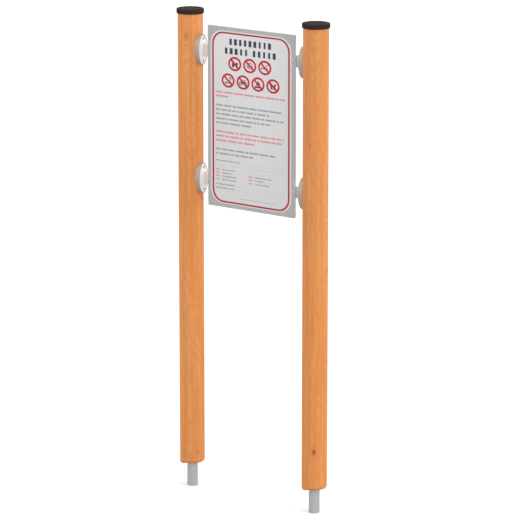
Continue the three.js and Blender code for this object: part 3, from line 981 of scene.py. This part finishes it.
def build_wood_screws():
    places = {}
    for side, level in CORNERS:
        for end in ("bottom", "top"):
            low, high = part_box(f"connector_screw_{side}_{level}_{end}")
            head = high.x if side == "left" else low.x
            place = Matrix.Translation((head, 0, (low.z + high.z) / 2))
            places[f"{side}_{level}_{end}"] = place @ (FACING[side] @ ALONG_X)
    drive = lobed(WOOD_SCREW["head"] * LOBED_DRIVE_SHARE, LOBES, LOBE_DEPTH_SHARE)
    screw = countersunk_screw(WOOD_SCREW, drive)
    set_out(screw, places, "face_screw", STAINLESS, "connector_screw")


def cross(reach, half):
    """The outline of a plain cross drive."""
    quarter = [(reach, -half), (reach, half), (half, half)]
    points = []
    for _ in range(4):
        points += quarter
        quarter = [(-y, x) for x, y in quarter]
    return points


def build_cap_screws():
    places = {side: on_axis(side, CAP_TOP) for side in SIDES}
    drive = cross(CAP_SCREW["head"] * CROSS_REACH_SHARE, CAP_SCREW["head"] * CROSS_HALF_SHARE)
    screw = countersunk_screw(CAP_SCREW, drive)
    set_out(screw, places, "lid_screw", BLACKENED, "cap_screw")


def build_bolts():
    """Button heads on the front of the board, about Z with the underside of the head at height zero."""
    length = BOLT_LENGTH - BOLT_HEAD_HEIGHT
    rise = BOLT_HEAD_HEIGHT - BOLT_HEAD_LAND
    outline = [(0, -length), (BOLT_RADIUS - BOLT_TIP_EASE, -length), (BOLT_RADIUS, -length + BOLT_TIP_EASE)]
    outline += [(BOLT_RADIUS, 0), (BOLT_HEAD_RADIUS - BOLT_HEAD_EASE, 0), (BOLT_HEAD_RADIUS, BOLT_HEAD_EASE)]
    outline += [(BOLT_HEAD_RADIUS, BOLT_HEAD_LAND)]
    for i in range(1, BOLT_HEAD_STEPS):
        turn = math.pi / 2 * i / BOLT_HEAD_STEPS
        outline.append((BOLT_HEAD_RADIUS * math.cos(turn), BOLT_HEAD_LAND + rise * math.sin(turn)))
    bolt = object_from(turned(outline + [(0, BOLT_HEAD_HEIGHT)]))
    socket_floor = BOLT_HEAD_HEIGHT - BOLT_SOCKET_DEPTH
    carved(bolt, [prism(hexagon(BOLT_SOCKET_FLATS), socket_floor, BOLT_HEAD_HEIGHT * 2)])
    places = places_of("panel_bolt", TO_READER, BOLT_HEAD_HEIGHT)
    set_out(bolt, places, "button_bolt", STAINLESS, "panel_bolt", 50)


def washer_form(bore, radius, thickness):
    ease = thickness * WASHER_EASE_SHARE
    return turned([
        (bore, ease), (bore + ease, 0), (radius - ease, 0), (radius, ease), (radius, thickness - ease),
        (radius - ease, thickness), (bore + ease, thickness), (bore, thickness - ease), (bore, ease),
    ])


def build_washers(part, name, bore, material):
    """Flat washers behind the board or in the posts' recesses, each where its node is."""
    low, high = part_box(f"{part}_left_lower")
    washer = object_from(washer_form(bore, (high.x - low.x) / 2, high.y - low.y))
    set_out(washer, places_of(part, TO_BACK), name, material, part)


def hex_head(flats, height):
    """A hexagon with its top corners turned away, about Z from height zero."""
    half = flats / 2
    corner = half / math.cos(math.pi / 6)
    over = corner * HEX_PAST_SHARE
    shoulder = height - (corner - half) * HEX_SHOULDER_SHARE
    outline = [(0, -height), (over, -height), (over, shoulder), (half * HEX_TOP_SHARE, height), (0, height)]
    return carved(object_from(prism(hexagon(flats), 0, height)), [turned(outline)], "INTERSECT")


def build_nuts():
    """Dome nuts on the bolts' ends behind the board."""
    nut = hex_head(NUT_FLATS, NUT_HEX_HEIGHT)
    dome_start = NUT_HEIGHT - NUT_DOME_RADIUS
    outline = [(0, NUT_HEX_HEIGHT / 2), (NUT_DOME_RADIUS, NUT_HEX_HEIGHT / 2)]
    outline += arc(0, dome_start, NUT_DOME_RADIUS, 0, NUT_DOME_END, NUT_DOME_STEPS) + [(0, NUT_HEIGHT)]
    carved(nut, [turned(outline)], "UNION")
    carved(nut, [round_hole(BOLT_RADIUS + HOLE_GAP, dome_start)])
    set_out(nut, places_of("panel_nut", TO_BACK), "dome_nut", STAINLESS, "panel_nut")


def build_coach_screws():
    """Hexagon heads in the recesses behind the posts, with their shanks through the tubes."""
    screw = hex_head(COACH_FLATS, COACH_HEAD_HEIGHT)
    root = COACH_HEAD_HEIGHT / 2
    point = COACH_RADIUS * SCREW_POINT_SHARE
    shank = [(0, -COACH_LENGTH), (COACH_RADIUS, -COACH_LENGTH + point), (COACH_RADIUS, root)]
    carved(screw, [turned(shank + [(0, root)])], "UNION")
    places = places_of("anchor_screw", TO_BACK, COACH_LENGTH)
    set_out(screw, places, "coach_screw", ZINC, "anchor_screw")


# Board, film and print

def eased_plate(low, high, radius, ease, steps=3):
    """A flat plate facing the reader, its front and back edges rounded over."""
    turns = [math.pi / 2 * i / steps for i in range(steps + 1)]
    layers = [(ease * (1 - math.sin(turn)), high.y - ease * (1 - math.cos(turn))) for turn in turns]
    layers += [(ease * (1 - math.cos(turn)), low.y + ease * (1 - math.sin(turn))) for turn in turns]
    rings = []
    for inset, depth in layers:
        width, height = (high[axis] - low[axis] - 2 * inset for axis in (0, 2))
        loop = rounded_rectangle(width, height, radius - inset)
        rings.append([(x, depth, z + BOARD_MIDDLE) for x, z in loop])
    return skinned(bmesh.new(), rings, capped=True)


def build_board():
    board = object_from(eased_plate(board_low, board_high, BOARD_CORNER_ROUND, BOARD_EDGE_ROUND))
    places = places_of("panel_bolt", TO_READER).values()
    carved(board, [moved(round_hole(BOLT_RADIUS + HOLE_GAP, BOLT_LENGTH), place) for place in places])
    finished(board, "sign_board", LAMINATE, "panel_board")


def build_film():
    sheet = object_from(eased_plate(film_low, film_high, FILM_CORNER_ROUND, FILM_EDGE_ROUND))
    finished(sheet, "print_sheet", FILM, "panel_print_film")


class Ink:
    """Flat printed shapes on the film, placed by their distance from the board's left and top edges."""

    def __init__(self, name, material, layer=0):
        self.name = name
        self.material = material
        self.back = FILM_FRONT + INK_BACK
        self.front = FILM_FRONT - INK_LIFT - INK_LAYER * layer
        self.bm = bmesh.new()

    def ring(self, outline, depth):
        top = BOARD_MIDDLE + BOARD_HEIGHT / 2
        return [(across - BOARD_WIDTH / 2, depth, top - down) for across, down in outline]

    def shape(self, outline, level=0):
        """A filled outline; shapes of one ink that overlap are given different levels."""
        depths = (self.back, self.front - INK_STEP * level)
        skinned(self.bm, [self.ring(outline, depth) for depth in depths], capped=True)

    def band(self, outer, inner):
        """The strip between two outlines with as many points."""
        loops = ((outer, self.back), (outer, self.front), (inner, self.front), (inner, self.back))
        skinned(self.bm, [self.ring(*loop) for loop in loops], closed=True)

    def block(self, left, right, middle, height, round_off=0.0):
        width = right - left
        corners = [(width / 2 * x, height / 2 * y) for x, y in SQUARE]
        if round_off:
            corners = rounded_rectangle(width, height, round_off, BLOCK_STEPS)
        self.shape([(left + width / 2 + x, middle + y) for x, y in corners])

    def done(self):
        finished(object_from(self.bm), self.name, self.material)


def print_frame_line():
    ink = Ink("print_frame_line", INK_CRIMSON)
    loops = []
    for edge in (-0.5, 0.5):
        width = BOARD_WIDTH - 2 * (FRAME_LINE_ASIDE + FRAME_LINE_WIDTH_ASIDE * edge)
        height = BOARD_HEIGHT - 2 * (FRAME_LINE_DOWN + FRAME_LINE_WIDTH_DOWN * edge)
        radius = FRAME_LINE_ROUND - FRAME_LINE_WIDTH_DOWN * edge
        loop = rounded_rectangle(width, height, radius, FRAME_LINE_STEPS)
        loops.append([(BOARD_WIDTH / 2 + x, BOARD_HEIGHT / 2 - y) for x, y in loop])
    ink.band(*loops)
    ink.done()


def print_heading():
    """Two rows of plain upright blocks of uneven width."""
    ink = Ink("print_heading_blocks", INK_DARK)
    picks = random.Random(11)
    for middle, left, right, groups in BLOCK_ROWS:
        pitch = (right - left) / (sum(groups) + BLOCK_SPACE_SHARE * (len(groups) - 1))
        across = left
        for group in groups:
            for _ in range(group):
                width = pitch * picks.choice(BLOCK_SHARES)
                start = across + (pitch - width) / 2
                ink.block(start, start + width, middle, BLOCK_HEIGHT, BLOCK_ROUND)
                across += pitch
            across += BLOCK_SPACE_SHARE * pitch
    ink.done()


def print_line_marks(ink, middle, left, right, height, picks):
    """A row of plain rounded bars of uneven length."""
    across = left
    while across < right - height:
        end = min(across + height * picks.uniform(*BAR_SHARES), right)
        if right - end < height * 2:
            end = right
        ink.block(across, end, middle, height, height * BAR_ROUND_SHARE)
        across = end + height * BAR_SPACE_SHARE


def print_text():
    picks = random.Random(5)
    tags = Ink("print_tags", INK_ROSE)
    entries = []
    for column in LIST_COLUMNS:
        for down, end in zip(LIST_ROWS[column["first_row"]:], column["ends"]):
            tags.block(*column["tag"], down, SMALL_HEIGHT, TAG_ROUND)
            entries.append((down, column["start"], end))
    above, below, red, dark = (
        [(down, TEXT_LEFT, right) for down, right in lines]
        for lines in (SMALL_LINES_ABOVE, SMALL_LINES_BELOW, RED_LINES, DARK_LINES)
    )
    for name, material, lines, height in (
        ("print_text_red", INK_ROSE, red, TEXT_HEIGHT),
        ("print_text_dark", INK_GREY, dark, TEXT_HEIGHT),
        ("print_text_small", INK_GREY, above + entries + below, SMALL_HEIGHT),
        ("print_text_faint", INK_FAINT, FAINT_LINES, FAINT_HEIGHT),
    ):
        ink = Ink(name, material)
        for down, left, right in lines:
            print_line_marks(ink, down, left, right, height, picks)
        ink.done()
    rules = Ink("print_rules", INK_FAINT)
    for down, left in RULES:
        rules.block(left, RULE_RIGHT, down, RULE_HEIGHT)
    rules.done()
    tags.done()


# Figures in the rings, x to the right and y downwards, in shares of the inner half size times FIGURE_SHARE

def stroke(x0, y0, x1, y1, width):
    """A straight line with round ends."""
    along = math.degrees(math.atan2(y1 - y0, x1 - x0))
    points = arc(x1, y1, width / 2, along - 90, along + 90, STROKE_STEPS)
    return points + arc(x0, y0, width / 2, along + 90, along + 270, STROKE_STEPS)


def box_shape(left, top, right, bottom, round_off=0.03):
    loop = rounded_rectangle(right - left, bottom - top, round_off, BOX_STEPS)
    return [((left + right) / 2 + x, (top + bottom) / 2 + y) for x, y in loop]


def hoop(x, y, radius, width, start, sweep):
    """Part of a ring, as one closed outline."""
    outer = arc(x, y, radius + width / 2, start, start + sweep, HOOP_STEPS)
    return outer + arc(x, y, radius - width / 2, start + sweep, start, HOOP_STEPS)


def wheel(x, y, radius, width):
    """A whole ring, as two outlines that all but meet."""
    return [hoop(x, y, radius, width, start, WHEEL_SWEEP) for start in (0, 180)]


def bottle_and_glass():
    bottle = [(-0.46, 0.52), (-0.46, -0.06), (-0.36, -0.22), (-0.34, -0.56), (-0.18, -0.56), (-0.16, -0.22)]
    bottle += [(-0.06, -0.06), (-0.06, 0.52)]
    bowl = [(0.10, -0.20), (0.54, -0.20), (0.50, 0.08), (0.38, 0.20), (0.26, 0.20), (0.14, 0.08)]
    return [bottle, bowl, stroke(0.32, 0.18, 0.32, 0.48, 0.10), stroke(0.18, 0.50, 0.46, 0.50, 0.11)]


def ball():
    seams = [(-0.42, 0.02, -0.18, 0.12), (0.42, 0.02, 0.18, 0.12), (0.0, -0.44, 0.0, -0.20)]
    seams += [(-0.26, 0.40, -0.12, 0.20), (0.26, 0.40, 0.12, 0.20)]
    patch = oval(0, 0.02, 0.20, 0.20, 5, -math.pi / 2)
    return wheel(0, 0, 0.46, 0.08) + [patch] + [stroke(*seam, 0.08) for seam in seams]


def cigarette():
    lengths = ((-0.62, -0.28), (-0.24, 0.42), (0.46, 0.54))
    smoke = [hoop(0.42, -0.26, 0.12, 0.10, 90, 180), hoop(0.42, -0.50, 0.12, 0.10, -90, 180)]
    return [box_shape(left, 0.06, right, 0.24) for left, right in lengths] + smoke


def scooter():
    deck = [stroke(-0.30, 0.32, 0.22, 0.32, 0.13), stroke(0.22, 0.32, 0.40, -0.44, 0.11)]
    bar = [stroke(0.22, -0.50, 0.54, -0.42, 0.13)]
    return deck + bar + wheel(-0.40, 0.38, 0.13, 0.10) + wheel(0.44, 0.38, 0.13, 0.10)


def bicycle():
    bars = [
        (-0.40, 0.22, -0.16, -0.16), (-0.16, -0.16, 0.26, -0.16), (0.26, -0.16, 0.02, 0.22),
        (0.02, 0.22, -0.16, -0.16), (-0.40, 0.22, 0.02, 0.22), (0.40, 0.22, 0.22, -0.34),
        (0.22, -0.34, 0.38, -0.38), (-0.20, -0.30, -0.14, -0.10),
    ]
    wheels = wheel(-0.40, 0.22, 0.24, 0.11) + wheel(0.40, 0.22, 0.24, 0.11)
    return wheels + [stroke(*points, 0.10) for points in bars] + [stroke(-0.32, -0.33, -0.10, -0.33, 0.14)]


def campfire():
    flame = [(0.0, 0.26), (-0.24, 0.18), (-0.32, -0.02), (-0.22, -0.22), (-0.14, -0.10), (-0.08, -0.36)]
    flame += [(0.06, -0.58), (0.08, -0.34), (0.20, -0.18), (0.24, -0.30), (0.33, -0.04), (0.24, 0.18)]
    return [flame, stroke(-0.44, 0.34, 0.44, 0.54, 0.18), stroke(-0.44, 0.54, 0.44, 0.34, 0.18)]


def dog():
    body = [(-0.40, -0.10), (0.20, -0.12), (0.26, -0.34), (0.34, -0.46), (0.40, -0.34), (0.58, -0.26)]
    body += [(0.58, -0.16), (0.42, -0.12), (0.36, 0.12), (0.34, 0.50), (0.22, 0.50), (0.20, 0.16)]
    body += [(-0.20, 0.16), (-0.24, 0.50), (-0.36, 0.50), (-0.42, 0.10)]
    legs = [stroke(0.06, 0.12, 0.10, 0.46, 0.14), stroke(-0.28, 0.12, -0.14, 0.46, 0.14)]
    return [body, stroke(-0.38, -0.06, -0.56, -0.34, 0.13)] + legs


FIGURES = ((bottle_and_glass, ball, cigarette), (scooter, bicycle, campfire, dog))


def print_rings():
    """Seven barred rings, each over a plain dark figure."""
    rings = Ink("print_barred_rings", INK_RED, 4)
    grounds = Ink("print_ring_grounds", INK_WHITE)
    figures = [Ink(f"print_figures_{row}", INK_DARK, 1) for row in ("upper", "lower")]
    outer = (RING_HALF_WIDTH, RING_HALF_HEIGHT)
    inner = [size - RING_STROKE for size in outer]
    middle = [size - RING_STROKE / 2 for size in outer]
    reach_x, reach_y = (size * math.sqrt(0.5) for size in middle)
    for ink, (down, places), forms in zip(figures, RING_ROWS, FIGURES):
        for across, form in zip(places, forms):
            rings.band(oval(across, down, *outer), oval(across, down, *inner))
            grounds.shape(oval(across, down, *middle))
            ends = (across - reach_x, down - reach_y, across + reach_x, down + reach_y)
            rings.shape(stroke(*ends, SLASH_WIDTH), SLASH_LEVEL)
            width, height = (size * FIGURE_SHARE for size in inner)
            for level, outline in enumerate(form()):
                ink.shape([(across + x * width, down + y * height) for x, y in outline], level)
    for ink in (rings, grounds, *figures):
        ink.done()


# Stage, camera and light

def build_floor():
    """A floor that looks white to the camera, but throws light back as a grey card does."""
    bm = bmesh.new()
    bm.faces.new([bm.verts.new((x * FLOOR_HALF, y * FLOOR_HALF, 0)) for x, y in SQUARE])
    floor = object_from(bm)
    floor.name = "floor"
    material, tree, shader, here = new_material("floor_white", Roughness=0.95, Specular_IOR_Level=0.0)
    shown = toned(tree, mottled(tree, here, 1.0, 20.0), (243, 243, 243), (246, 246, 246))
    seen = node(tree, "ShaderNodeLightPath").outputs["Is Camera Ray"]
    feed(tree, shader, {"Base Color": mixed(tree, seen, FLOOR_BOUNCE, shown)})
    floor.data.materials.append(material)


def build_light():
    """A dome that is brightest round its rim, and one broad key from the right."""
    world = bpy.data.worlds.new("soft_studio")
    world.use_nodes = True
    tree = world.node_tree
    upward = node(tree, "ShaderNodeTexCoord").outputs["Generated"]
    height = node(tree, "ShaderNodeSeparateXYZ", {0: upward}).outputs["Z"]
    strength = remapped(tree, height, 0.0, 1.0, DOME_RIM, DOME_TOP, smooth=False)
    seen = node(tree, "ShaderNodeLightPath").outputs["Is Camera Ray"]
    values = {"Color": (1, 1, 1, 1), "Strength": maths(tree, "MAXIMUM", strength, seen)}
    feed(tree, tree.nodes["Background"], values)
    bpy.context.scene.world = world
    lamp = bpy.data.lights.new("key", "SUN")
    lamp.energy = SUN_STRENGTH
    lamp.angle = SUN_SPREAD
    towards = turn_point(math.cos(SUN_ELEVATION), SUN_AZIMUTH, math.sin(SUN_ELEVATION))
    new_object("key", lamp).rotation_euler = towards.to_track_quat("Z", "Y").to_euler()


def build_camera():
    """The photograph's view: a long lens, to the right of the reader's side and a little from above."""
    forward = Vector((
        -math.sin(VIEW_AZIMUTH) * math.cos(VIEW_ELEVATION),
        math.cos(VIEW_AZIMUTH) * math.cos(VIEW_ELEVATION),
        -math.sin(VIEW_ELEVATION),
    ))
    aside = Vector((math.cos(VIEW_AZIMUTH), math.sin(VIEW_AZIMUTH), 0)) * VIEW_ASIDE
    camera = bpy.data.cameras.new("camera")
    camera.lens = LENS
    camera.clip_end = VIEW_REACH
    made = new_object("camera", camera)
    made.location = aside + Vector((0, 0, VIEW_HEIGHT)) - forward * VIEW_DISTANCE
    made.rotation_euler = forward.to_track_quat("-Z", "Y").to_euler()
    bpy.context.scene.camera = made


build_camera()
build_light()
build_floor()
for side in SIDES:
    build_post(side)
    build_cap(side)
    build_tube(side)
build_connectors()
build_wood_screws()
build_cap_screws()
build_bolts()
build_washers("panel_washer", "flat_washer", BOLT_RADIUS + HOLE_GAP, STAINLESS)
build_washers("anchor_washer", "wide_washer", COACH_RADIUS + HOLE_GAP, ZINC)
build_nuts()
build_coach_screws()
build_board()
build_film()
print_frame_line()
print_heading()
print_rings()
print_text()

bpy.context.scene.view_settings.view_transform = "Standard"
